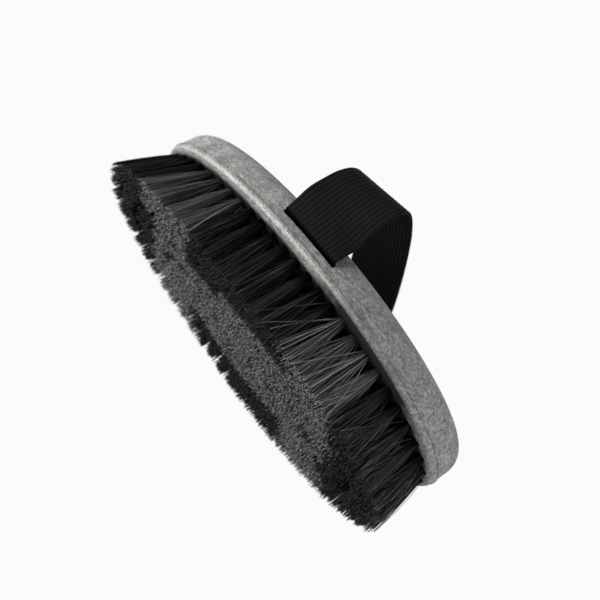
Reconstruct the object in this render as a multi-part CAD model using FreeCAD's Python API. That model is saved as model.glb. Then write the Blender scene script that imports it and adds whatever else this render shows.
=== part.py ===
import FreeCAD, Part
import math
import os

# Oval hand brush with an elastic hand strap. Millimetres, +Z up, +X along the oval.
# The origin is the centre of the trimmed tuft tips, which are the plane z = 0.

# block
BLOCK_LENGTH = 190.0
BLOCK_WIDTH = 97.0
BLOCK_THICKNESS = 19.6
UNDERSIDE = 27.5          # height of the block's underside, which is the exposed tuft length
WALL_DRAFT = 0.6          # how far the top of the side wall leans in
CROWN_RADIUS = 900.0      # the back is arched a little across its width
LOWER_ROUND = 3.6
UPPER_ROUND = 8.5
BEAD_HEIGHT = 4.2         # the moulding bead's centre above the underside
BEAD_SIZE = 0.4
BEAD_PROUD = 0.2

# tufts, set in rows that follow the block's edge, with a straight row in what is left along the middle
ROW_INSETS = (7.0, 15.5, 24.0, 32.5, 41.0)
END_CREEP = 2.2           # the rows run this much closer to the edge at the block's two ends
MIDDLE_HALF = 76.0        # the middle row is tried this far each way
MIDDLE_STEP = 0.2
TUFT_PITCH = 7.6
LEAST_SPACING = 7.15      # a tuft closer than this to one already set is left out
SPREAD_LENGTHWISE = 1.031 # the tip field is this much longer than the root field
SPREAD_SIDEWAYS = 1.015
END_ZONE = 59.5           # tufts whose roots are further out than this are the black end caps
SIDE_ZONE = 31.0          # the black patches at the middle of each long side reach this far each way
SIDE_ZONE_INNER = 19.0    # and in to this distance from the centre line. All other tufts are charcoal
NEAR_STEP_PLACE = -8.0    # right of this the near patch is a row shallower,
NEAR_STEP_INNER = 27.0    # and reaches in only this far
HOLE_RADIUS = 2.25
HOLE_DEPTH = 6.0
TUFT_ROOT_RADIUS = 2.05
TUFT_TIP_RADIUS = 3.4
TUFT_END_GAP = 0.2        # between the folded tuft and the bottom of its hole

# flat wire anchor that holds each folded tuft
ANCHOR_LENGTH = 4.9       # a little longer than the hole is wide, so it bites the block
ANCHOR_THICKNESS = 0.35
ANCHOR_HEIGHT = 1.8
FOLD_THICKNESS = 0.7      # filaments folded round the inner edge of the anchor
ANCHOR_GAP = 0.1

# strap
STRAP_WIDTH = 32.0
STRAP_THICKNESS = 1.6
STRAP_LEVEL = 8.1         # centre of the strap's tails above the underside
TAIL_INNER = 34.5         # the tails reach in to this distance from the centre plane
TAIL_OUTER = 48.0
TAIL_STEPS = 4
SLOT_GAP = 0.3
# half of the arch over the back, as (distance from the centre plane, height above the tails)
ARCH = ((51.4, 1.0), (53.6, 4.2), (55.6, 11.0), (56.6, 20.0), (55.2, 28.5), (49.5, 35.4),
        (38.0, 39.6), (20.0, 41.9))
ARCH_CREST = 42.6

# staples through the tails, driven from the tuft side between the first two rings
STAPLE_PLACES = (-8.0, 8.0)
STAPLE_LINE = 36.9        # distance from the centre plane
STAPLE_CROWN = 9.0
STAPLE_WIRE_WIDE = 1.2
STAPLE_WIRE_THIN = 0.6
STAPLE_SINK = 0.5         # how far the crown lies above the underside
STAPLE_TIP = 12.0         # height of the leg's point above the underside
STAPLE_GAP = 0.12

PERIMETER_STEPS = 1440
OFFSET_POINTS = 90

HALF_LENGTH = BLOCK_LENGTH / 2
HALF_WIDTH = BLOCK_WIDTH / 2
TOP = UNDERSIDE + BLOCK_THICKNESS
STRAP_Z = UNDERSIDE + STRAP_LEVEL
V = FreeCAD.Vector


def oval(inset, z):
    """The block's outline, moved in by an inset, at a height."""
    edge = Part.Ellipse(V(0, 0, z), HALF_LENGTH - inset, HALF_WIDTH - inset).toShape()
    return Part.Wire(edge)


def box(x_size, y_size, low, high, x=0.0, y=0.0):
    """A box centred at x, y, from one height to another."""
    corner = V(x - x_size / 2, y - y_size / 2, low)
    return Part.makeBox(x_size, y_size, high - low, corner)


def outer_edges(shape, z, slack):
    """The long edges that run round the block near a height."""
    found = []
    for edge in shape.Edges:
        bounds = edge.BoundBox
        if bounds.ZMin > z - slack and bounds.ZMax < z + slack and edge.Length > BLOCK_WIDTH:
            found.append(edge)
    return found


def block_blank():
    """The block before drilling: drafted wall, crowned back, rounded edges, moulding bead."""
    blank = Part.makeLoft([oval(0, UNDERSIDE), oval(WALL_DRAFT, TOP)], True, True)
    crown = Part.makeCylinder(CROWN_RADIUS, BLOCK_LENGTH * 2, V(-BLOCK_LENGTH, 0, TOP - CROWN_RADIUS),
                              V(1, 0, 0))
    blank = blank.common(crown)
    blank = blank.makeFillet(LOWER_ROUND, outer_edges(blank, UNDERSIDE, 0.1))
    blank = blank.makeFillet(UPPER_ROUND, outer_edges(blank, TOP, 2.0))
    bead_low = UNDERSIDE + BEAD_HEIGHT - BEAD_SIZE / 2
    bead = Part.Face(oval(-BEAD_PROUD, bead_low)).extrude(V(0, 0, BEAD_SIZE))
    return blank.fuse(bead).removeSplitter()


def row_point(angle, inset):
    """A point inside the block's outline, by the inset at the sides and by less towards the ends."""
    across = V(HALF_WIDTH * math.cos(angle), HALF_LENGTH * math.sin(angle), 0).normalize()
    depth = inset - END_CREEP * math.cos(angle) ** 2
    return V(HALF_LENGTH * math.cos(angle), HALF_WIDTH * math.sin(angle), UNDERSIDE) - across * depth


def edge_row(inset):
    """Roots of one row round the block, evenly spaced."""
    turn = [2 * math.pi * i / PERIMETER_STEPS for i in range(PERIMETER_STEPS + 1)]
    walk = [row_point(angle, inset) for angle in turn]
    run = [0.0]
    for here, there in zip(walk, walk[1:]):
        run.append(run[-1] + here.distanceToPoint(there))
    count = 2 * round(run[-1] / TUFT_PITCH / 2)
    roots = []
    step = 0
    for i in range(count):
        while run[step + 1] < (i + 0.5) * run[-1] / count:
            step += 1
        # the ends of a deep row narrow to nothing, and the middle row fills in there
        side = math.copysign(1, math.sin(turn[step]))
        if walk[step].y * side >= LEAST_SPACING / 2:
            roots.append(walk[step])
    return roots


def middle_row():
    """Places tried along the middle, from the centre outwards."""
    steps = int(MIDDLE_HALF / MIDDLE_STEP)
    return [V(side * i * MIDDLE_STEP, 0, UNDERSIDE) for i in range(steps) for side in (1, -1)]


def tuft_roots():
    """Every tuft's root, with none closer to another than the least spacing."""
    planned = [root for inset in ROW_INSETS for root in edge_row(inset)] + middle_row()
    placed = []
    for root in planned:
        if all(root.distanceToPoint(other) >= LEAST_SPACING for other in placed):
            placed.append(root)
    return placed


def zone(root):
    """The colour zone that a tuft belongs to. The middle row counts with the near side."""
    end = "left" if root.x < 0 else "right"
    if abs(root.x) > END_ZONE:
        return "black_end_" + end
    if abs(root.x) > SIDE_ZONE:
        return "charcoal_" + end + ("_far" if root.y > 0 else "_near")
    if root.y > SIDE_ZONE_INNER:
        return "black_side_far"
    near_inner = NEAR_STEP_INNER if root.x > NEAR_STEP_PLACE else SIDE_ZONE_INNER
    return "black_side_near" if -root.y > near_inner else "charcoal_centre"


def tuft_zones():
    """Each zone's name with its tufts' root and tip points."""
    zones = {}
    for root in tuft_roots():
        tip = V(root.x * SPREAD_LENGTHWISE, root.y * SPREAD_SIDEWAYS, 0)
        zones.setdefault(zone(root), []).append((root, tip))
    return zones


def along(shape, root, tip):
    """Stands a shape modelled round -Z at the origin on its tuft's axis."""
    turn = FreeCAD.Rotation(V(0, 0, -1), tip - root)
    return shape.transformed(FreeCAD.Placement(root, turn).toMatrix())


def hole_tool():
    """Cutter for one blind tuft hole, with its mouth at the origin."""
    return Part.makeCylinder(HOLE_RADIUS, HOLE_DEPTH + 1, V(0, 0, -1))


def anchor():
    """One flat wire anchor, across its hole."""
    high = HOLE_DEPTH - TUFT_END_GAP - FOLD_THICKNESS - ANCHOR_GAP
    return box(ANCHOR_LENGTH, ANCHOR_THICKNESS, high - ANCHOR_HEIGHT, high)


def tuft_blank():
    """One folded tuft: parallel in its hole, flaring below it, open round its anchor."""
    reach = UNDERSIDE * 1.2
    flare = TUFT_TIP_RADIUS - TUFT_ROOT_RADIUS
    outline = [
        V(0, 0, HOLE_DEPTH - TUFT_END_GAP),
        V(TUFT_ROOT_RADIUS, 0, HOLE_DEPTH - TUFT_END_GAP),
        V(TUFT_ROOT_RADIUS, 0, 0),
        V(TUFT_ROOT_RADIUS + flare * reach / UNDERSIDE, 0, -reach),
        V(0, 0, -reach),
    ]
    body = Part.Face(Part.makePolygon(outline + outline[:1])).revolve(V(0, 0, 0), V(0, 0, 1), 360)
    high = HOLE_DEPTH - TUFT_END_GAP - FOLD_THICKNESS
    low = high - ANCHOR_HEIGHT - 2 * ANCHOR_GAP
    return body.cut(box(ANCHOR_LENGTH * 2, ANCHOR_THICKNESS + 2 * ANCHOR_GAP, low, high))


def trimmed(tuft):
    """A tuft cut off level at the tip plane."""
    floor = box(BLOCK_LENGTH * 2, BLOCK_LENGTH * 2, -UNDERSIDE, 0)
    return tuft.cut(floor)


def strap_line():
    """Centre line of the strap: out of one slot, over the back, and in at the other."""
    tail = [(TAIL_INNER + i * (TAIL_OUTER - TAIL_INNER) / TAIL_STEPS, 0.0) for i in range(TAIL_STEPS + 1)]
    half = tail + list(ARCH)
    near = [V(0, -y, STRAP_Z + z) for y, z in half]
    far = [V(0, y, STRAP_Z + z) for y, z in reversed(half)]
    line = Part.BSplineCurve()
    line.interpolate(near + [V(0, 0, STRAP_Z + ARCH_CREST)] + far)
    return line


def beside(curve, distance):
    """A curve at a constant distance to the left of a planar curve, as it is travelled."""
    first, last = curve.FirstParameter, curve.LastParameter
    points = []
    for i in range(OFFSET_POINTS + 1):
        at = first + (last - first) * i / OFFSET_POINTS
        along_curve = curve.tangent(at)[0].normalize()
        points.append(curve.value(at) + V(1, 0, 0).cross(along_curve) * distance)
    offset = Part.BSplineCurve()
    offset.interpolate(points)
    return offset


def hand_strap():
    """The webbing, with the holes that the staples pass through."""
    above = beside(strap_line(), STRAP_THICKNESS / 2).toShape()
    below = beside(strap_line(), -STRAP_THICKNESS / 2).toShape()
    ends = [Part.makeLine(above.Vertexes[i].Point, below.Vertexes[i].Point) for i in (0, -1)]
    profile = Part.Face(Part.Wire(Part.__sortEdges__([above, below] + ends)))
    profile.translate(V(-STRAP_WIDTH / 2, 0, 0))
    return profile.extrude(V(STRAP_WIDTH, 0, 0)).cut(staples_both(STAPLE_GAP))


def staple(x, y, gap):
    """One staple, crown down. A gap makes it the clearance round the staple instead."""
    crown_low = UNDERSIDE + STAPLE_SINK - gap
    crown_high = crown_low + STAPLE_WIRE_THIN + 2 * gap
    wide = STAPLE_WIRE_WIDE + 2 * gap
    shape = box(STAPLE_CROWN + 2 * gap, wide, crown_low, crown_high, x, y)
    leg_offset = (STAPLE_CROWN - STAPLE_WIRE_THIN) / 2
    leg_high = UNDERSIDE + STAPLE_TIP + gap
    for leg_x in (x - leg_offset, x + leg_offset):
        shape = shape.fuse(box(STAPLE_WIRE_THIN + 2 * gap, wide, crown_low, leg_high, leg_x, y))
    return shape.removeSplitter()


def staples(side, gap=0.0):
    """The staples through one tail."""
    return [staple(x, side * STAPLE_LINE, gap) for x in STAPLE_PLACES]


def staples_both(gap):
    """Clearance round all staples, as cutters."""
    return staples(-1, gap) + staples(1, gap)


def strap_slots():
    """Cutters for the two slots in the side wall, and for the mouths the staples sink into."""
    height = STRAP_THICKNESS / 2 + SLOT_GAP
    depth = HALF_WIDTH - TAIL_INNER + SLOT_GAP + BEAD_SIZE * 10
    cutters = []
    for side in (-1, 1):
        y = side * (TAIL_INNER - SLOT_GAP + depth / 2)
        cutters.append(box(STRAP_WIDTH + 2 * SLOT_GAP, depth, STRAP_Z - height, STRAP_Z + height, 0, y))
        for x in STAPLE_PLACES:
            mouth = box(STAPLE_CROWN + 2 * STAPLE_GAP, STAPLE_WIRE_WIDE + 2 * STAPLE_GAP,
                        UNDERSIDE - 1, UNDERSIDE + STAPLE_SINK, x, side * STAPLE_LINE)
            cutters.append(mouth)
    return cutters


def write(node, solids):
    """Writes one node's solids to its own file."""
    shape = solids[0] if len(solids) == 1 else Part.makeCompound(solids)
    shape.exportStep("parts/" + node + ".step")
    print(node, len(shape.Solids), "solids", round(shape.Volume), "mm3", shape.isValid())


def main():
    os.makedirs("parts", exist_ok=True)
    zones = tuft_zones()
    holes = [along(hole_tool(), *axis) for axes in zones.values() for axis in axes]
    write("block", [block_blank().cut(holes + strap_slots() + staples_both(STAPLE_GAP))])
    write("hand_strap", [hand_strap()])
    write("strap_staples_near", staples(-1))
    write("strap_staples_far", staples(1))
    for name, axes in zones.items():
        write("tufts_" + name, [trimmed(along(tuft_blank(), *axis)) for axis in axes])
        write("anchors_" + name, [along(anchor(), *axis) for axis in axes])


main()
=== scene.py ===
import math

import bmesh
import bpy
import numpy as np
from mathutils import Matrix, Vector


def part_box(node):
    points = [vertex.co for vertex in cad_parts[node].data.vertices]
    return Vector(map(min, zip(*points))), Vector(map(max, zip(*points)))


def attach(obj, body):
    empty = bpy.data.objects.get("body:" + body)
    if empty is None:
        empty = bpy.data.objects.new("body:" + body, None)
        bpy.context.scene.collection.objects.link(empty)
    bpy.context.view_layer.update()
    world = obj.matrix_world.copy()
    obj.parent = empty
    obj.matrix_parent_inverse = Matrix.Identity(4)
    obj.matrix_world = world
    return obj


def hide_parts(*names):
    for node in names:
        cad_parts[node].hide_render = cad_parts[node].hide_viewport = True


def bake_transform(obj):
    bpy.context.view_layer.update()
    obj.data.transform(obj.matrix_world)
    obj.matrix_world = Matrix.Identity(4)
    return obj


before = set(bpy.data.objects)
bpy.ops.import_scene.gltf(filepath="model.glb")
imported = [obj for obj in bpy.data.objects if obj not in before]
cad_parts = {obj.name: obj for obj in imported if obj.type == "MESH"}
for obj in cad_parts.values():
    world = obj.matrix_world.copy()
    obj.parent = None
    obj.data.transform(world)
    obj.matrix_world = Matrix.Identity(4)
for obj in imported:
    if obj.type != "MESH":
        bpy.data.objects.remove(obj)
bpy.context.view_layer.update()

MM = 0.001
SEED = 20

# the CAD's own places, in metres
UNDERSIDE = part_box("block")[0].z
BLOCK_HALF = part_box("block")[1]
STRAP_LOW, STRAP_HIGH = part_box("hand_strap")

# the sockets of a colour mix node: its factor, its two colours, and its result
MIX_INPUTS = (0, 6, 7)
MIX_RESULT = 2

# block colours and pattern, with the pale of a painted highlight and the darks of painted shade
CLOUD_DARK = (0.185, 0.183, 0.178)
CLOUD_LIGHT = (0.29, 0.287, 0.28)
# painted highlight on the rounded lower edge
EDGE_HIGHLIGHT_PALE = (0.68, 0.66, 0.61)
# painted shade in the corner under the moulding bead
BEAD_SHADE_GREY = (0.06, 0.06, 0.055)
# painted shade on the underside and in the tuft holes' mouths
UNDERSIDE_SHADE_GREY = (0.014, 0.014, 0.0135)
SWIRL_STRETCH = (0.45, 1.0, 1.3)       # below 1 draws the swirls out along that axis

# where the block gets its painted highlight and painted shade, by x along it, z above the tips, and tilt. A
# face whose tilt is -1 looks straight down, and a wall's is 0. Of two numbers in a pair, the effect is whole
# at the first and gone at the second, but a pair with a _SOFT width is whole between its two numbers.
PAINTED_LEFT_SPAN = (5 * MM, 45 * MM)          # the painted edge highlight and most of the painted bead-corner shade lie left of here
EDGE_HIGHLIGHT_TILT = (-0.57, -0.4)              # the painted highlight on the rounded lower edge
EDGE_HIGHLIGHT_TILT_SOFT = 0.15
EDGE_HIGHLIGHT_END = (-50 * MM, -75 * MM)        # only half of the painted highlight goes on past here, to the left end
BEAD_CORNER = (UNDERSIDE + 3.65 * MM, UNDERSIDE + 3.95 * MM)
BEAD_CORNER_SOFT = 0.1 * MM
BEAD_SHADE_END = (-35 * MM, -60 * MM)       # no painted shade in the bead's corner from here to the left end
SHADE_RIM = (5.0 * MM, 2.6 * MM)       # how far inside the edge the underside's painted shade thins out
SHADE_TO_EDGE = (30 * MM, 70 * MM)     # between these x it reaches the edge
SHADE_TO_EDGE_SOFT = 20 * MM
SHADE_HEIGHT = (UNDERSIDE + 1.8 * MM, UNDERSIDE + 2.5 * MM)
UNDERSIDE_TILT = (-0.74, -0.52)
HOLE_WALL_TILT = (-0.12, 0.12)
HOLE_WALL_TILT_SOFT = 0.13

# webbing colours, and the heights between which painted shade darkens it towards its slots
THREAD_DARK = (0.003, 0.003, 0.0032)
THREAD_LIGHT = (0.0075, 0.0075, 0.008)
FIBRE_SHEEN = (0.5, 0.5, 0.55)
SLOT_SHADE = (STRAP_LOW.z + 2.0 * MM, STRAP_LOW.z + 0.6 * MM)

ANCHOR_STEEL = (0.62, 0.62, 0.61)
STAPLE_STEEL = (0.1, 0.098, 0.094)
STEEL_DULL = 0.75            # the wire's dark streaks, as a share of its own colour

# how the CAD tufts are read
WELD = 1e-6                  # vertices closer than this are one
ROOT_BAND = 0.6 * MM         # vertices this near the underside are at a tuft's root
TIP_BAND = 0.05 * MM         # vertices lower than this are at its tip
ORDER_DECIMALS = 4           # tufts are put in order by roots rounded to 0.1 mm

# filaments
ENDS_PER_TUFT = 92
FILAMENT_RADIUS = 0.152 * MM
FILAMENT_SIDES = 5
STATIONS = (0.0, 0.33, 0.68, 0.985, 1.0)   # share of the length from root to tip
UNEVEN = (0.85, 1.15)        # least and most that a tuft opens, or that a filament is thick
CUT_END = 0.72               # thickness of a cut end, as a share of the filament's
SHADE_POWER = 1.6            # above 1, fewer strands are light, and these light strands are painted highlight
ROOT_BUNDLE = 1.5 * MM
TIP_SPREAD_OUTWARD = 4.9 * MM
TIP_SPREAD_SIDEWAYS = 5.6 * MM
ROOT_DEPTH = 1.5 * MM        # the filaments start this far inside the hole
TRIM_SCATTER = 0.7 * MM      # how unevenly the tips are trimmed
BOW = 0.3 * MM

# scatter of the filaments, as a share of their tuft's spread
DISC_SCATTER = 0.04
TUFT_LEAN = 0.1
SPLAY_SCATTER = 0.14
END_SCATTER = 0.12
OUTERMOST = 0.95             # no filament reaches further outwards than this share

# tufts open a little more towards the right end
OPENING = 0.92
OPENING_CHANGE = 0.1
OPENING_REACH = 30 * MM

# strays: their share of the filaments, and how they differ from the rest
LOOSE = 0.09
LOOSE_RIGHT = 0.26           # their share in the right-hand zones
STRAY_SWING = 0.8
STRAY_BOW = 2.5
STRAY_THICK = 0.85
STRAY_SHADES = 0.12          # strays have the lightest shades, this share of the range, as painted highlight

RIM_DEPTH = 10 * MM          # tufts rooted closer to the block's edge than this are the outer row
FAR_RIM_GATHER = 0.71        # the far outer row keeps its tufts apart, this much narrower at the tips

# patches that use has bent: (x and y of the middle, reach, how far the tips lean in x and in y), in mm
BENT_PATCHES = (((-57, -30), 12, (-6.5, 0.0)), ((-80, -17), 11, (-2.4, -3.5)))
ROW_PLACE = 30 * MM          # the two lean values below are whole this far from the middle line
FAR_LEAN = 2.3 * MM          # the far row is pushed in and out
FAR_TURN = -12 * MM          # left of this the far row leans in, and right of it out
FAR_TURN_REACH = 15 * MM
NEAR_LEAN = 2.8 * MM         # the middle of the near row is pushed in
NEAR_REACH = 32 * MM

# strap
RIB_COUNT = 16
RIB_HEIGHT = 0.22 * MM
RIB_POWER = 0.5              # below 1, the ribs are full and the grooves between them narrow
RIB_STEPS = 6                # mesh columns across each rib
LENGTH_STEPS = 220
CURVE_STEPS = 40             # steps between two points of the arch, before they are spaced evenly
CAD_HALF_THICK = 0.8 * MM
STRAP_HALF_THICK = 0.55 * MM
STRAP_HALF_WIDTH = STRAP_HIGH.x - 0.1 * MM
SELVEDGE = 0.9 * MM          # the edges are rounded over this width
SELVEDGE_HALF_THICK = 0.05 * MM
# the near leg is twisted: its right edge hugs the block low down and stands further out higher up
TWIST_IN = 2.4 * MM
TWIST_LOW = 11 * MM
TWIST_LOW_REACH = 6.5 * MM
TWIST_OUT = 3.6 * MM
TWIST_HIGH = 29 * MM
TWIST_HIGH_REACH = 4 * MM
TWIST_WHOLE = 30 * MM        # whole this far from the middle line, and none at the middle line
# half of the arch: (share of the half span, share of the height over the tails), outwards then up
ARCH = ((0.61, 0.0), (0.72, 0.0), (0.84, 0.0), (0.872, 0.035), (0.89, 0.12), (0.928, 0.28), (0.975, 0.46),
        (0.985, 0.61), (0.95, 0.77), (0.84, 0.885), (0.6, 0.955), (0.32, 0.99), (0.0, 1.0))

# camera, as a place on a sphere round a point on the brush, with its angles in degrees
CAMERA_AZIMUTH = 24.585
CAMERA_ELEVATION = -20.367
CAMERA_ROLL = 59.368
CAMERA_DISTANCE = 442.46 * MM
CAMERA_AIM = Vector((0, 0, 30 * MM))
CAMERA_SHIFT = (3.76 * MM, 3.19 * MM)
CAMERA_CLIP = (0.01, 50)
SENSOR = 36.0                # in mm, as is the focal length
FOCAL = 62.45
FOCUS_DISTANCE = 387 * MM
F_NUMBER = 16.0

# stage
FLOOR_HALF = 12.0
FLOOR_DROP = 0.2 * MM        # the floor lies this far under the tips
FLOOR_GREY = (0.8, 0.8, 0.79)
FLOOR_SUN = 2.7
FLOOR_SUN_WIDTH = 50         # degrees
FLOOR_SUN_FROM = Vector((-0.3, -0.25, 1))
BACKDROP_GREY = (0.96, 0.96, 0.96)
SURROUND_LIGHT = 0.2


# ---------------------------------------------------------------- node helpers

def new_material(name):
    """A material with an empty node tree, its output and its Principled shader."""
    material = bpy.data.materials.new(name)
    material.use_nodes = True
    tree = material.node_tree
    tree.nodes.clear()
    output = tree.nodes.new("ShaderNodeOutputMaterial")
    shader = tree.nodes.new("ShaderNodeBsdfPrincipled")
    tree.links.new(shader.outputs["BSDF"], output.inputs["Surface"])
    return material, tree, shader


def object_place(tree, scale=(1, 1, 1)):
    """Object coordinates, stretched by a scale."""
    coords = tree.nodes.new("ShaderNodeTexCoord")
    mapping = tree.nodes.new("ShaderNodeMapping")
    mapping.inputs["Scale"].default_value = scale
    tree.links.new(coords.outputs["Object"], mapping.inputs["Vector"])
    return mapping.outputs["Vector"]


def noise(tree, place, scale, detail, roughness, distortion=0.0):
    """A noise value between 0 and 1, with its scale in features per unit of the place."""
    node = tree.nodes.new("ShaderNodeTexNoise")
    node.inputs["Scale"].default_value = scale
    node.inputs["Detail"].default_value = detail
    node.inputs["Roughness"].default_value = roughness
    node.inputs["Distortion"].default_value = distortion
    tree.links.new(place, node.inputs["Vector"])
    return node.outputs["Fac"]


def ramp(tree, value, *stops):
    """A colour ramp over (position, grey or colour) stops."""
    node = tree.nodes.new("ShaderNodeValToRGB")
    elements = node.color_ramp.elements
    while len(elements) < len(stops):
        elements.new(0.5)
    for element, (position, colour) in zip(elements, stops):
        element.position = position
        rgb = (colour,) * 3 if isinstance(colour, (int, float)) else colour
        element.color = (*rgb, 1)
    tree.links.new(value, node.inputs["Fac"])
    return node.outputs["Color"]


def mix(tree, kind, share, first, second):
    """Two colours mixed. The share may be a number or a socket."""
    node = tree.nodes.new("ShaderNodeMix")
    node.data_type = "RGBA"
    node.blend_type = kind
    factor, a, b = (node.inputs[i] for i in MIX_INPUTS)
    for socket, value in ((factor, share), (a, first), (b, second)):
        if isinstance(value, bpy.types.NodeSocket):
            tree.links.new(value, socket)
        elif socket is factor:
            socket.default_value = value
        else:
            socket.default_value = (*value, 1)
    return node.outputs[MIX_RESULT]


def times(tree, first, second, share=1.0):
    """One value multiplied by another, wholly or in part."""
    return mix(tree, "MULTIPLY", share, first, second)


def larger(tree, first, second):
    """The larger of two values."""
    return mix(tree, "LIGHTEN", 1.0, first, second)


def axis_value(tree, vector, axis):
    """One axis of a vector socket."""
    node = tree.nodes.new("ShaderNodeSeparateXYZ")
    tree.links.new(vector, node.inputs["Vector"])
    return node.outputs[axis]


def fade(tree, value, first, last):
    """Falls from 1 to 0 as a value goes from one number to another."""
    node = tree.nodes.new("ShaderNodeMapRange")
    node.inputs["From Min"].default_value = first
    node.inputs["From Max"].default_value = last
    node.inputs["To Min"].default_value = 1.0
    node.inputs["To Max"].default_value = 0.0
    tree.links.new(value, node.inputs["Value"])
    return node.outputs["Result"]


def band(tree, value, low, high, soft):
    """Is 1 between two numbers, and falls to 0 over a soft distance on either side."""
    return times(tree, fade(tree, value, low, low - soft), fade(tree, value, high, high + soft))


def math_value(tree, kind, first, second):
    """One sum over two value sockets."""
    node = tree.nodes.new("ShaderNodeMath")
    node.operation = kind
    tree.links.new(first, node.inputs[0])
    tree.links.new(second, node.inputs[1])
    return node.outputs["Value"]


def length_of(tree, vector):
    """The length of a vector socket."""
    node = tree.nodes.new("ShaderNodeVectorMath")
    node.operation = "LENGTH"
    tree.links.new(vector, node.inputs[0])
    return node.outputs["Value"]


def rim_distance(tree):
    """How far a place on the block lies inside its oval edge, measured towards the centre."""
    reach = length_of(tree, object_place(tree, (1, 1, 0)))
    share = length_of(tree, object_place(tree, (1 / BLOCK_HALF.x, 1 / BLOCK_HALF.y, 0)))
    return math_value(tree, "SUBTRACT", math_value(tree, "DIVIDE", reach, share), reach)


def bump(tree, shader, height, strength, distance):
    """Fine relief from a height value."""
    node = tree.nodes.new("ShaderNodeBump")
    node.inputs["Strength"].default_value = strength
    node.inputs["Distance"].default_value = distance
    tree.links.new(height, node.inputs["Height"])
    tree.links.new(node.outputs["Normal"], shader.inputs["Normal"])


# ---------------------------------------------------------------- materials

def mottled(tree, place):
    """The block's mottled grey: fine pale and dark flecks over soft clouds and drawn-out swirls."""
    drawn = object_place(tree, SWIRL_STRETCH)
    clouds = noise(tree, place, scale=55, detail=3, roughness=0.55, distortion=0.8)
    swirls = noise(tree, drawn, scale=330, detail=5, roughness=0.6, distortion=2.2)
    flecks = noise(tree, place, scale=1050, detail=4, roughness=0.7)
    clouds = ramp(tree, clouds, (0.3, CLOUD_DARK), (0.72, CLOUD_LIGHT))
    swirls = ramp(tree, swirls, (0.36, 0.22), (0.5, 0.5), (0.66, 0.8))
    flecks = ramp(tree, flecks, (0.34, 0.16), (0.5, 0.5), (0.68, 0.86))
    colour = mix(tree, "OVERLAY", 0.6, clouds, swirls)
    return mix(tree, "OVERLAY", 0.62, colour, flecks)


def painted_edge_highlight(tree, place, tilt, along):
    """How far the rounded lower edge is painted pale in grains, a painted highlight, most of all left of the
    strap.
    """
    highlit = times(tree, band(tree, tilt, *EDGE_HIGHLIGHT_TILT, EDGE_HIGHLIGHT_TILT_SOFT), fade(tree, along, *PAINTED_LEFT_SPAN))
    highlit = times(tree, highlit, fade(tree, along, *EDGE_HIGHLIGHT_END), share=0.5)
    grains = noise(tree, place, scale=1300, detail=4, roughness=0.7)
    return times(tree, highlit, ramp(tree, grains, (0.42, 0.15), (0.56, 0.95)))


def painted_bead_shade(tree, along, height):
    """How much painted shade darkens the corner under the moulding bead."""
    corner = band(tree, height, *BEAD_CORNER, BEAD_CORNER_SOFT)
    amount = ramp(tree, fade(tree, along, *PAINTED_LEFT_SPAN), (0.0, 0.2), (1.0, 0.6))
    return times(tree, times(tree, corner, amount), fade(tree, along, *BEAD_SHADE_END))


def painted_underside_shade(tree, place, tilt, along, height):
    """How far painted shade darkens the tuft holes' mouths and the flat underside inside its rim."""
    inner = fade(tree, rim_distance(tree), *SHADE_RIM)
    inner = larger(tree, inner, band(tree, along, *SHADE_TO_EDGE, SHADE_TO_EDGE_SOFT))
    patches = noise(tree, place, scale=260, detail=2, roughness=0.5)
    inner = mix(tree, "OVERLAY", 1.0, inner, ramp(tree, patches, (0.35, 0.2), (0.65, 0.8)))
    flat = times(tree, fade(tree, tilt, *UNDERSIDE_TILT), inner)
    painted_shade = larger(tree, flat, band(tree, tilt, *HOLE_WALL_TILT, HOLE_WALL_TILT_SOFT))
    return times(tree, painted_shade, fade(tree, height, *SHADE_HEIGHT))


def block_material():
    """Mottled grey moulded composite, with a painted highlight along its rounded lower edge and painted
    shade under its bead and on its underside.
    """
    material, tree, shader = new_material("speckled_block")
    place = object_place(tree)
    faces = tree.nodes.new("ShaderNodeNewGeometry")
    tilt = axis_value(tree, faces.outputs["True Normal"], "Z")
    along = axis_value(tree, place, "X")
    height = axis_value(tree, place, "Z")
    colour = mottled(tree, place)
    # painted highlight on the rounded lower edge
    colour = mix(tree, "MIX", painted_edge_highlight(tree, place, tilt, along), colour, EDGE_HIGHLIGHT_PALE)
    # painted shade in the corner under the moulding bead
    colour = mix(tree, "MIX", painted_bead_shade(tree, along, height), colour, BEAD_SHADE_GREY)
    # painted shade on the underside and in the tuft holes' mouths
    colour = mix(tree, "MIX", painted_underside_shade(tree, place, tilt, along, height), colour, UNDERSIDE_SHADE_GREY)
    tree.links.new(colour, shader.inputs["Base Color"])
    rubbed = noise(tree, place, scale=700, detail=3, roughness=0.6)
    tree.links.new(ramp(tree, rubbed, (0.3, 0.66), (0.7, 0.86)), shader.inputs["Roughness"])
    shader.inputs["Specular IOR Level"].default_value = 0.22
    pits = noise(tree, place, scale=900, detail=5, roughness=0.65)
    bump(tree, shader, pits, strength=0.35, distance=0.25 * MM)
    return material


def weave_bands(tree, uv):
    """The threads that cross the webbing, as light and dark bands."""
    node = tree.nodes.new("ShaderNodeTexWave")
    node.wave_type = "BANDS"
    node.bands_direction = "Y"
    node.inputs["Scale"].default_value = 0.36
    node.inputs["Distortion"].default_value = 1.2
    node.inputs["Detail"].default_value = 2.0
    node.inputs["Detail Scale"].default_value = 2.5
    tree.links.new(uv, node.inputs["Vector"])
    return node.outputs["Color"]


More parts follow.
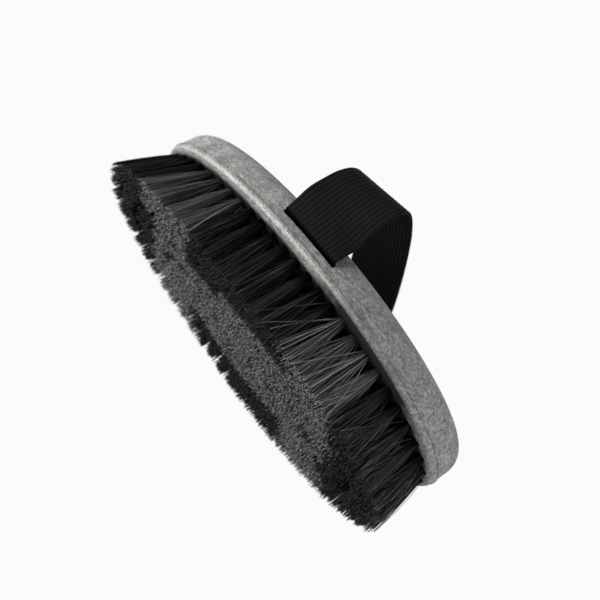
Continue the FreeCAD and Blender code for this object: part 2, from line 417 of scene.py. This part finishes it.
def webbing_material():
    """Black elastic webbing: a fine cross weave over the ribs, with a little fibre sheen."""
    material, tree, shader = new_material("strap_webbing")
    uv = tree.nodes.new("ShaderNodeUVMap")
    uv.uv_map = "webbing"
    fibres = noise(tree, uv.outputs["UV"], scale=2.4, detail=4, roughness=0.7)
    fibres = ramp(tree, fibres, (0.3, 0.4), (0.7, 1.0))
    thread = times(tree, weave_bands(tree, uv.outputs["UV"]), fibres, share=0.7)
    colour = ramp(tree, thread, (0.0, THREAD_DARK), (1.0, THREAD_LIGHT))
    # painted shade: the webbing goes dark where it enters its slots
    height = axis_value(tree, object_place(tree), "Z")
    clear = fade(tree, height, *SLOT_SHADE)
    tree.links.new(times(tree, colour, clear), shader.inputs["Base Color"])
    tree.links.new(ramp(tree, clear, (0.0, 0.01), (1.0, 0.11)), shader.inputs["Specular IOR Level"])
    shader.inputs["Roughness"].default_value = 0.78
    shader.inputs["Sheen Weight"].default_value = 0.02
    shader.inputs["Sheen Roughness"].default_value = 0.5
    shader.inputs["Sheen Tint"].default_value = (*FIBRE_SHEEN, 1)
    bump(tree, shader, thread, strength=0.45, distance=0.18 * MM)
    return material


def point_value(tree, name):
    """A value that each point of a mesh carries."""
    node = tree.nodes.new("ShaderNodeAttribute")
    node.attribute_name = name
    return node.outputs["Fac"]


def filament_material(name, dark, light, tip, gloss):
    """Extruded filament: each strand its own shade, the lightest ones painted highlight, glossy along its
    side, and paler at the cut end, which is part scuff and part painted highlight.
    """
    material, tree, shader = new_material(name)
    strand = point_value(tree, "strand")
    # painted highlight: the lightest strands stand in for glints along the filaments
    shade = ramp(tree, strand, (0.0, dark), (0.6, 1.6 * dark), (0.85, 0.3 * light), (1.0, light))
    # paler cut ends: part scuff, part painted highlight
    scuff_and_glint = times(tree, point_value(tree, "cut"), ramp(tree, strand, (0.0, 0.12), (0.6, 1.0)))
    tree.links.new(mix(tree, "MIX", scuff_and_glint, shade, tip), shader.inputs["Base Color"])
    tree.links.new(ramp(tree, strand, (0.0, 0.5), (1.0, 0.28)), shader.inputs["Roughness"])
    shader.inputs["Specular IOR Level"].default_value = gloss
    return material


def steel_material(name, tint):
    """Drawn steel wire with fine lengthways scratches."""
    material, tree, shader = new_material(name)
    drawn = object_place(tree, (1, 1, 0.08))
    scratches = noise(tree, drawn, scale=4000, detail=4, roughness=0.6)
    dull = tuple(STEEL_DULL * part for part in tint)
    tree.links.new(ramp(tree, scratches, (0.3, dull), (0.7, tint)), shader.inputs["Base Color"])
    tree.links.new(ramp(tree, scratches, (0.3, 0.3), (0.7, 0.46)), shader.inputs["Roughness"])
    shader.inputs["Metallic"].default_value = 1.0
    return material


# ---------------------------------------------------------------- mesh helpers

def give(obj, material):
    """Makes a material the only one on an object."""
    obj.data.materials.clear()
    obj.data.materials.append(material)


def mesh_object(name, verts, faces, smooth=True):
    """A new object from a list of face arrays."""
    mesh = bpy.data.meshes.new(name)
    mesh.vertices.add(len(verts))
    mesh.vertices.foreach_set("co", verts.astype(np.float32).ravel())
    loops = np.concatenate([f.ravel() for f in faces])
    sizes = np.concatenate([np.full(len(f), f.shape[1]) for f in faces])
    mesh.loops.add(len(loops))
    mesh.loops.foreach_set("vertex_index", loops.astype(np.int32))
    mesh.polygons.add(len(sizes))
    mesh.polygons.foreach_set("loop_start", (np.cumsum(sizes) - sizes).astype(np.int32))
    mesh.polygons.foreach_set("use_smooth", np.full(len(sizes), smooth))
    mesh.update(calc_edges=True)
    mesh.validate()
    obj = bpy.data.objects.new(name, mesh)
    bpy.context.scene.collection.objects.link(obj)
    return obj


def fix_normals(obj):
    """Turns every face outwards."""
    mesh = bmesh.new()
    mesh.from_mesh(obj.data)
    bmesh.ops.recalc_face_normals(mesh, faces=mesh.faces)
    mesh.to_mesh(obj.data)
    mesh.free()


# ---------------------------------------------------------------- tufts

def solids_of(mesh):
    """The vertices of each separate solid in a mesh."""
    seen = set()
    for first in mesh.verts:
        if first in seen:
            continue
        seen.add(first)
        group, edge = [first], [first]
        while edge:
            vert = edge.pop()
            for link in vert.link_edges:
                other = link.other_vert(vert)
                if other not in seen:
                    seen.add(other)
                    group.append(other)
                    edge.append(other)
        yield group


def middle(points):
    """The middle of some points."""
    return sum(points, Vector()) / len(points)


def tuft_axes(node):
    """Root and tip centres of each tuft in a CAD node, in a fixed order."""
    mesh = bmesh.new()
    mesh.from_mesh(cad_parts[node].data)
    bmesh.ops.remove_doubles(mesh, verts=mesh.verts, dist=WELD)
    axes = []
    for group in solids_of(mesh):
        root = [v.co for v in group if abs(v.co.z - UNDERSIDE) < ROOT_BAND]
        tip = [v.co for v in group if v.co.z < TIP_BAND]
        axes.append((middle(root), middle(tip)))
    mesh.free()
    return sorted(axes, key=lambda a: (round(a[0].x, ORDER_DECIMALS), round(a[0].y, ORDER_DECIMALS)))


def bundle(rng, count):
    """Points spread evenly over a unit disc, with a little scatter."""
    index = np.arange(count) + 0.5
    radius = np.sqrt(index / count)
    # each point is the golden angle further round than the one before it
    angle = index * math.pi * (3 - math.sqrt(5)) + rng.uniform(0, 2 * math.pi)
    points = np.stack([radius * np.cos(angle), radius * np.sin(angle)], 1)
    return points + rng.normal(0, DISC_SCATTER, points.shape)


def outward_at(root):
    """Unit vectors square to the block's rim and along it, in the plane of the tips."""
    outward = np.array((root.x / BLOCK_HALF.x ** 2, root.y / BLOCK_HALF.y ** 2, 0.0))
    outward /= np.linalg.norm(outward)
    return outward, np.array((-outward[1], outward[0], 0.0))


def bent_by_use(root):
    """How far use has moved a tuft's tips."""
    moved = np.zeros(3)
    for place, reach, lean in BENT_PATCHES:
        away = root.xy / MM - Vector(place)
        moved[:2] += np.array(lean) * MM * math.exp(-away.length_squared / (2 * reach ** 2))
    far_share = min(max(root.y / ROW_PLACE, 0), 1)
    far = FAR_LEAN * far_share * math.tanh((root.x - FAR_TURN) / FAR_TURN_REACH)
    near_share = min(max(-root.y / ROW_PLACE, 0), 1)
    near = NEAR_LEAN * near_share * math.exp(-(root.x / NEAR_REACH) ** 2)
    return moved + (0.0, far + near, 0.0)


def edge_distance(root):
    """How far a root lies inside the block's edge, measured towards the centre."""
    share = math.hypot(root.x / BLOCK_HALF.x, root.y / BLOCK_HALF.y)
    return root.xy.length * (1 / share - 1)


def tip_spread(root, opening):
    """How far a tuft's tips spread outwards and sideways."""
    gathered = root.y > 0 and edge_distance(root) < RIM_DEPTH
    gather = FAR_RIM_GATHER if gathered else 1.0
    return np.array((TIP_SPREAD_OUTWARD, TIP_SPREAD_SIDEWAYS * opening * gather))


def trimmed(lines, cut):
    """Lines stretched so that each ends on its own level, just above the plane of the tips."""
    full = lines[:, -1:, 2:] - lines[:, :1, 2:]
    wanted = cut[:, None, None] - lines[:, :1, 2:]
    return lines[:, :1] + (lines - lines[:, :1]) * (wanted / full)


def filament_lines(rng, root, tip, loose):
    """Centre lines of one tuft's filaments, as (filament, station, xyz), and which of them stray."""
    count = ENDS_PER_TUFT
    outward, sideways = outward_at(root)
    disc = bundle(rng, count)
    axis = np.array((tip - root).normalized())
    start = np.array(root) - axis * ROOT_DEPTH
    start = start + ROOT_BUNDLE * (disc[:, :1] * outward + disc[:, 1:] * sideways)
    # each tuft opens and leans a little differently, and a few filaments stray across their neighbours
    opening = rng.uniform(*UNEVEN) * (OPENING + OPENING_CHANGE * math.tanh(root.x / OPENING_REACH))
    lean = rng.normal(0, TUFT_LEAN, 2)
    splay = disc * rng.normal(1.0, SPLAY_SCATTER, (count, 1)) + rng.normal(0, END_SCATTER, disc.shape) + lean
    stray = rng.random(count) < loose
    splay[stray, 1] += rng.normal(0, STRAY_SWING, stray.sum())
    splay[:, 0] = np.minimum(splay[:, 0], OUTERMOST)
    offset = splay * tip_spread(root, opening)
    end = np.array(tip) + offset[:, :1] * outward + offset[:, 1:] * sideways
    end = end + bent_by_use(root)
    cut = np.abs(rng.normal(0, TRIM_SCATTER, count)) * rng.random(count)
    bow = rng.normal(0, BOW, (count, 2))
    bow[stray] *= STRAY_BOW
    share = np.array(STATIONS)[None, :, None]
    lines = start[:, None] + (end - start)[:, None] * share
    arch = np.sin(math.pi * share)
    lines = lines + arch * (bow[:, None, :1] * outward + bow[:, None, 1:] * sideways)
    return trimmed(lines, cut), stray


def tube_faces(count, stations):
    """Side, tip and root faces of tubes whose vertices run round each station in turn."""
    sides = FILAMENT_SIDES
    base = np.arange(count)[:, None, None] * stations * sides
    row = np.arange(stations - 1)[None, :, None] * sides
    spoke = np.arange(sides)[None, None]
    after = (spoke + 1) % sides
    a, b = base + row + spoke, base + row + after
    quads = np.stack([a, b, b + sides, a + sides], -1).reshape(-1, 4)
    tips = base[:, 0] + (stations - 1) * sides + np.arange(sides)[None]
    roots = base[:, 0] + np.arange(sides)[None, ::-1]
    return [quads, tips, roots]


def tubes(lines, stray, rng):
    """Vertices, faces and point values of round filaments along centre lines."""
    count, stations, _ = lines.shape
    tangent = np.gradient(lines, axis=1)
    tangent /= np.linalg.norm(tangent, axis=2, keepdims=True)
    side = np.cross(tangent, (0.0, 1.0, 0.0))
    side /= np.linalg.norm(side, axis=2, keepdims=True)
    other = np.cross(tangent, side)
    thick = FILAMENT_RADIUS * rng.uniform(*UNEVEN, (count, 1))
    thick[stray] *= STRAY_THICK
    profile = np.repeat(thick, stations, 1)
    profile[:, -1] *= CUT_END
    turn = 2 * math.pi * (np.arange(FILAMENT_SIDES)[None, :] / FILAMENT_SIDES + rng.random((count, 1)))
    cosine, sine = np.cos(turn)[:, None, :, None], np.sin(turn)[:, None, :, None]
    ring = cosine * side[:, :, None] + sine * other[:, :, None]
    verts = lines[:, :, None] + profile[:, :, None, None] * ring
    shade = rng.random(count) ** SHADE_POWER
    # strays stand clear of their tuft and are painted lighter than it, a painted highlight
    shade[stray] = 1 - STRAY_SHADES + STRAY_SHADES * shade[stray]
    strand = np.repeat(shade, stations * FILAMENT_SIDES)
    cut = np.tile(np.repeat(np.arange(stations) == stations - 1, FILAMENT_SIDES), count)
    return verts.reshape(-1, 3), tube_faces(count, stations), {"strand": strand, "cut": cut}


def bristles(node, material, loose):
    """The filaments that stand for one CAD node of tufts."""
    rng = np.random.default_rng(SEED + sum(map(ord, node)))
    tufts = [filament_lines(rng, root, tip, loose) for root, tip in tuft_axes(node)]
    lines = np.concatenate([tuft[0] for tuft in tufts])
    stray = np.concatenate([tuft[1] for tuft in tufts])
    verts, faces, values = tubes(lines, stray, rng)
    obj = mesh_object(node.replace("tufts", "filaments"), verts, faces)
    for name, value in values.items():
        attribute = obj.data.attributes.new(name, "FLOAT", "POINT")
        attribute.data.foreach_set("value", value.astype(np.float32))
    give(obj, material)
    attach(obj, "brush")
    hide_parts(node)


def black_filament():
    """Black filament, satin."""
    return filament_material("black_bristle", dark=0.0013, light=0.06, tip=(0.022, 0.022, 0.021), gloss=0.36)


def charcoal_filament():
    """Charcoal grey filament, glossier, with paler cut ends."""
    return filament_material("charcoal_bristle", dark=0.048, light=0.24, tip=(0.44, 0.427, 0.388), gloss=0.7)


def add_bristles():
    """All the colour zones."""
    materials = {"black": black_filament(), "charcoal": charcoal_filament()}
    for node in sorted(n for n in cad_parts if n.startswith("tufts_")):
        colour = node.split("_")[1]
        loose = LOOSE_RIGHT if "right" in node else LOOSE
        bristles(node, materials[colour], loose)


# ---------------------------------------------------------------- strap

def smooth_curve(points, count):
    """Evenly spaced points on a Catmull-Rom curve through some points, and its length."""
    points = np.array(points, float)
    ends = np.vstack([2 * points[0] - points[1], points, 2 * points[-1] - points[-2]])
    pieces = []
    for i in range(len(points) - 1):
        p0, p1, p2, p3 = ends[i:i + 4]
        t = np.linspace(0, 1, CURVE_STEPS, endpoint=False)[:, None]
        pieces.append(0.5 * (2 * p1 + (p2 - p0) * t + (2 * p0 - 5 * p1 + 4 * p2 - p3) * t ** 2
                             + (3 * p1 - p0 - 3 * p2 + p3) * t ** 3))
    dense = np.vstack(pieces + [points[-1:]])
    run = np.concatenate([[0], np.cumsum(np.linalg.norm(np.diff(dense, axis=0), axis=1))])
    even = np.linspace(0, run[-1], count)
    return np.stack([np.interp(even, run, dense[:, k]) for k in range(dense.shape[1])], 1), run[-1]


def strap_centre_line():
    """The strap's centre line across the brush, as (y, z) points, and its length."""
    half_span = STRAP_HIGH.y - CAD_HALF_THICK
    tail = STRAP_LOW.z + CAD_HALF_THICK
    height = STRAP_HIGH.z - CAD_HALF_THICK - tail
    near = [(-half_span * y, tail + height * z) for y, z in ARCH]
    far = [(-y, z) for y, z in near[-2::-1]]
    return smooth_curve(near + far, LENGTH_STEPS + 1)


def strap_twist(line):
    """How far along y the near leg's right edge is moved, and its left edge the other way, at each point."""
    height = line[:, 1] - line[0, 1]
    low = np.exp(-((height - TWIST_LOW) / TWIST_LOW_REACH) ** 2)
    high = 1 / (1 + np.exp(-(height - TWIST_HIGH) / TWIST_HIGH_REACH))
    near = np.clip(-line[:, 0] / TWIST_WHOLE, 0, 1) ** 2
    return (TWIST_IN * low - TWIST_OUT * high) * near


def strap_section():
    """Places across the strap, from -1 at one edge to 1 at the other, and its half thickness there."""
    columns = RIB_COUNT * RIB_STEPS + 1
    across = np.linspace(-1, 1, columns)
    rib = np.abs(np.sin(np.linspace(0, RIB_COUNT * math.pi, columns))) ** RIB_POWER
    edge = np.clip((1 - np.abs(across)) * STRAP_HALF_WIDTH / SELVEDGE, 0, 1)
    rounding = np.sqrt(edge * (2 - edge))
    return across, (STRAP_HALF_THICK + RIB_HEIGHT * rib) * rounding + SELVEDGE_HALF_THICK


def strap_verts(line, across, thick):
    """The strap's outer sheet of vertices and then its inner one, in rows along its length."""
    tangent = np.gradient(line, axis=0)
    tangent /= np.linalg.norm(tangent, axis=1, keepdims=True)
    normal = np.stack([-tangent[:, 1], tangent[:, 0]], 1)
    twist = strap_twist(line)
    x = np.repeat(across[None] * STRAP_HALF_WIDTH, len(line), 0)
    sheets = []
    for side in (1, -1):
        y = line[:, None, 0] + side * normal[:, None, 0] * thick[None] + twist[:, None] * across[None]
        z = line[:, None, 1] + side * normal[:, None, 1] * thick[None]
        sheets.append(np.stack([x, y, z], -1).reshape(-1, 3))
    return np.vstack(sheets)


def strap_faces(rows, wide):
    """Faces of the strap's two sheets, and of the walls that join them all round."""
    index = np.arange(rows * wide).reshape(rows, wide)
    shift = rows * wide
    a, b, c, d = index[:-1, :-1], index[:-1, 1:], index[1:, 1:], index[1:, :-1]
    upper = np.stack([a, b, c, d], -1).reshape(-1, 4)
    lower = np.stack([d, c, b, a], -1).reshape(-1, 4) + shift
    rim = np.concatenate([index[:-1, 0], index[-1, :-1], index[:0:-1, -1], index[0, :0:-1]])
    rim_next = np.roll(rim, -1)
    walls = np.stack([rim, rim_next, rim_next + shift, rim + shift], -1)
    return [upper, lower, walls]


def add_webbing_uv(obj, across, rows, length):
    """Places across and along the strap, in millimetres, for its weave."""
    wide = len(across)
    uv = obj.data.uv_layers.new(name="webbing")
    loop_vert = np.zeros(len(obj.data.loops), np.int32)
    obj.data.loops.foreach_get("vertex_index", loop_vert)
    flat = loop_vert % (rows * wide)
    u = across[flat % wide] * STRAP_HALF_WIDTH / MM
    v = (flat // wide) / (rows - 1) * length / MM
    uv.data.foreach_set("uv", np.stack([u, v], 1).astype(np.float32).ravel())


def add_strap():
    """Ribbed elastic webbing: a closed sheet whose ribs run along its length."""
    line, length = strap_centre_line()
    across, thick = strap_section()
    rows = len(line)
    obj = mesh_object("strap_webbing", strap_verts(line, across, thick), strap_faces(rows, len(across)))
    add_webbing_uv(obj, across, rows, length)
    fix_normals(obj)
    give(obj, webbing_material())
    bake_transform(obj)
    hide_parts("hand_strap")


# ---------------------------------------------------------------- stage

def camera_axes():
    """Unit vectors from the brush to the camera, to the picture's right and to its top."""
    azimuth, elevation, roll = (math.radians(a) for a in (CAMERA_AZIMUTH, CAMERA_ELEVATION, CAMERA_ROLL))
    back = Vector((math.sin(azimuth) * math.cos(elevation), -math.cos(azimuth) * math.cos(elevation),
                   math.sin(elevation)))
    level = (-back).cross(Vector((0, 0, 1))).normalized()
    upright = level.cross(-back)
    right = math.cos(roll) * level + math.sin(roll) * upright
    top = -math.sin(roll) * level + math.cos(roll) * upright
    return back, right, top


def add_camera():
    """The camera that the picture is taken with."""
    back, right, top = camera_axes()
    data = bpy.data.cameras.new("camera")
    data.sensor_width = SENSOR
    data.lens = FOCAL
    data.clip_start, data.clip_end = CAMERA_CLIP
    data.dof.use_dof = True
    data.dof.focus_distance = FOCUS_DISTANCE
    data.dof.aperture_fstop = F_NUMBER
    obj = bpy.data.objects.new("camera", data)
    turn = Matrix((right, top, back)).transposed().to_4x4()
    place = CAMERA_AIM + back * CAMERA_DISTANCE + right * CAMERA_SHIFT[0] + top * CAMERA_SHIFT[1]
    obj.matrix_world = Matrix.Translation(place) @ turn
    bpy.context.scene.collection.objects.link(obj)
    bpy.context.scene.camera = obj


def lit_only(light, floor, state):
    """Links a light to the floor alone, or keeps it off the floor."""
    linked = bpy.data.collections.new(light.name)
    linked.objects.link(floor)
    linked.collection_objects[0].light_linking.link_state = state
    light.light_linking.receiver_collection = linked


def add_light(floor, name, direction, distance, size, power):
    """A square soft light aimed at the brush, which doesn't reach the floor."""
    data = bpy.data.lights.new(name, "AREA")
    data.shape = "SQUARE"
    data.size = size
    data.energy = power
    obj = bpy.data.objects.new(name, data)
    obj.location = CAMERA_AIM + direction.normalized() * distance
    obj.rotation_mode = "QUATERNION"
    obj.rotation_quaternion = direction.to_track_quat("Z", "Y")
    obj.visible_camera = False
    bpy.context.scene.collection.objects.link(obj)
    lit_only(obj, floor, "EXCLUDE")


def add_floor_light(floor):
    """A broad sun for the floor alone, so that the brush casts a soft shadow on it."""
    data = bpy.data.lights.new("floor_sun", "SUN")
    data.energy = FLOOR_SUN
    data.angle = math.radians(FLOOR_SUN_WIDTH)
    obj = bpy.data.objects.new("floor_sun", data)
    obj.rotation_mode = "QUATERNION"
    obj.rotation_quaternion = FLOOR_SUN_FROM.to_track_quat("Z", "Y")
    bpy.context.scene.collection.objects.link(obj)
    lit_only(obj, floor, "INCLUDE")


def add_lights(floor):
    """Studio light: a key at the picture's top left, and soft lights at four sides of the brush itself."""
    back, right, top = camera_axes()
    key_from = top * 0.75 - right * 0.6 + back * 0.45
    add_light(floor, "key", key_from, distance=0.6, size=0.4, power=0.78)
    add_light(floor, "left", Vector((-0.8, -0.5, -0.25)), distance=0.6, size=0.45, power=4.7)
    add_light(floor, "right", Vector((0.92, -0.17, 0.28)), distance=0.5, size=0.12, power=1.25)
    add_light(floor, "below", Vector((0.5, -0.3, -0.8)), distance=0.7, size=0.4, power=1.25)
    add_light(floor, "above", Vector((0.0, 0.5, 1.0)), distance=0.9, size=0.6, power=2.3)


def add_world():
    """Even pale surroundings, which the camera sees brighter than they light the brush."""
    world = bpy.data.worlds.new("studio")
    world.use_nodes = True
    tree = world.node_tree
    tree.nodes.clear()
    output = tree.nodes.new("ShaderNodeOutputWorld")
    seen = tree.nodes.new("ShaderNodeBackground")
    seen.inputs["Color"].default_value = (*BACKDROP_GREY, 1)
    lit = tree.nodes.new("ShaderNodeBackground")
    lit.inputs["Color"].default_value = (1, 1, 1, 1)
    lit.inputs["Strength"].default_value = SURROUND_LIGHT
    path = tree.nodes.new("ShaderNodeLightPath")
    choice = tree.nodes.new("ShaderNodeMixShader")
    tree.links.new(path.outputs["Is Camera Ray"], choice.inputs["Fac"])
    tree.links.new(lit.outputs["Background"], choice.inputs[1])
    tree.links.new(seen.outputs["Background"], choice.inputs[2])
    tree.links.new(choice.outputs["Shader"], output.inputs["Surface"])
    bpy.context.scene.world = world


def floor_material():
    """Matt pale grey, which is clear when seen from below."""
    material, tree, shader = new_material("floor")
    shader.inputs["Base Color"].default_value = (*FLOOR_GREY, 1)
    shader.inputs["Roughness"].default_value = 0.9
    clear = tree.nodes.new("ShaderNodeBsdfTransparent")
    facing = tree.nodes.new("ShaderNodeNewGeometry")
    choice = tree.nodes.new("ShaderNodeMixShader")
    tree.links.new(facing.outputs["Backfacing"], choice.inputs["Fac"])
    tree.links.new(shader.outputs["BSDF"], choice.inputs[1])
    tree.links.new(clear.outputs["BSDF"], choice.inputs[2])
    output = next(n for n in tree.nodes if n.type == "OUTPUT_MATERIAL")
    tree.links.new(choice.outputs["Shader"], output.inputs["Surface"])
    return material


def add_floor():
    """A pale floor just under the tips, which neither shades nor brightens the brush."""
    corners = np.array([(-1, -1, 0), (1, -1, 0), (1, 1, 0), (-1, 1, 0)]) * FLOOR_HALF - (0, 0, FLOOR_DROP)
    obj = mesh_object("floor", corners, [np.array([[0, 1, 2, 3]])], smooth=False)
    give(obj, floor_material())
    obj.visible_shadow = False
    obj.visible_diffuse = False
    obj.visible_glossy = False
    return obj


# ---------------------------------------------------------------- build

def dress_cad_nodes():
    """Materials for the CAD pieces that show as they are."""
    give(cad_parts["block"], block_material())
    anchor_steel = steel_material("anchor_wire", ANCHOR_STEEL)
    staple_steel = steel_material("staple_wire", STAPLE_STEEL)
    for name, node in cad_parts.items():
        if name.startswith("anchors_"):
            give(node, anchor_steel)
        elif name.startswith("strap_staples"):
            give(node, staple_steel)


dress_cad_nodes()
add_bristles()
add_strap()
add_camera()
add_world()
floor = add_floor()
add_lights(floor)
add_floor_light(floor)
bpy.context.scene.view_settings.view_transform = "Standard"
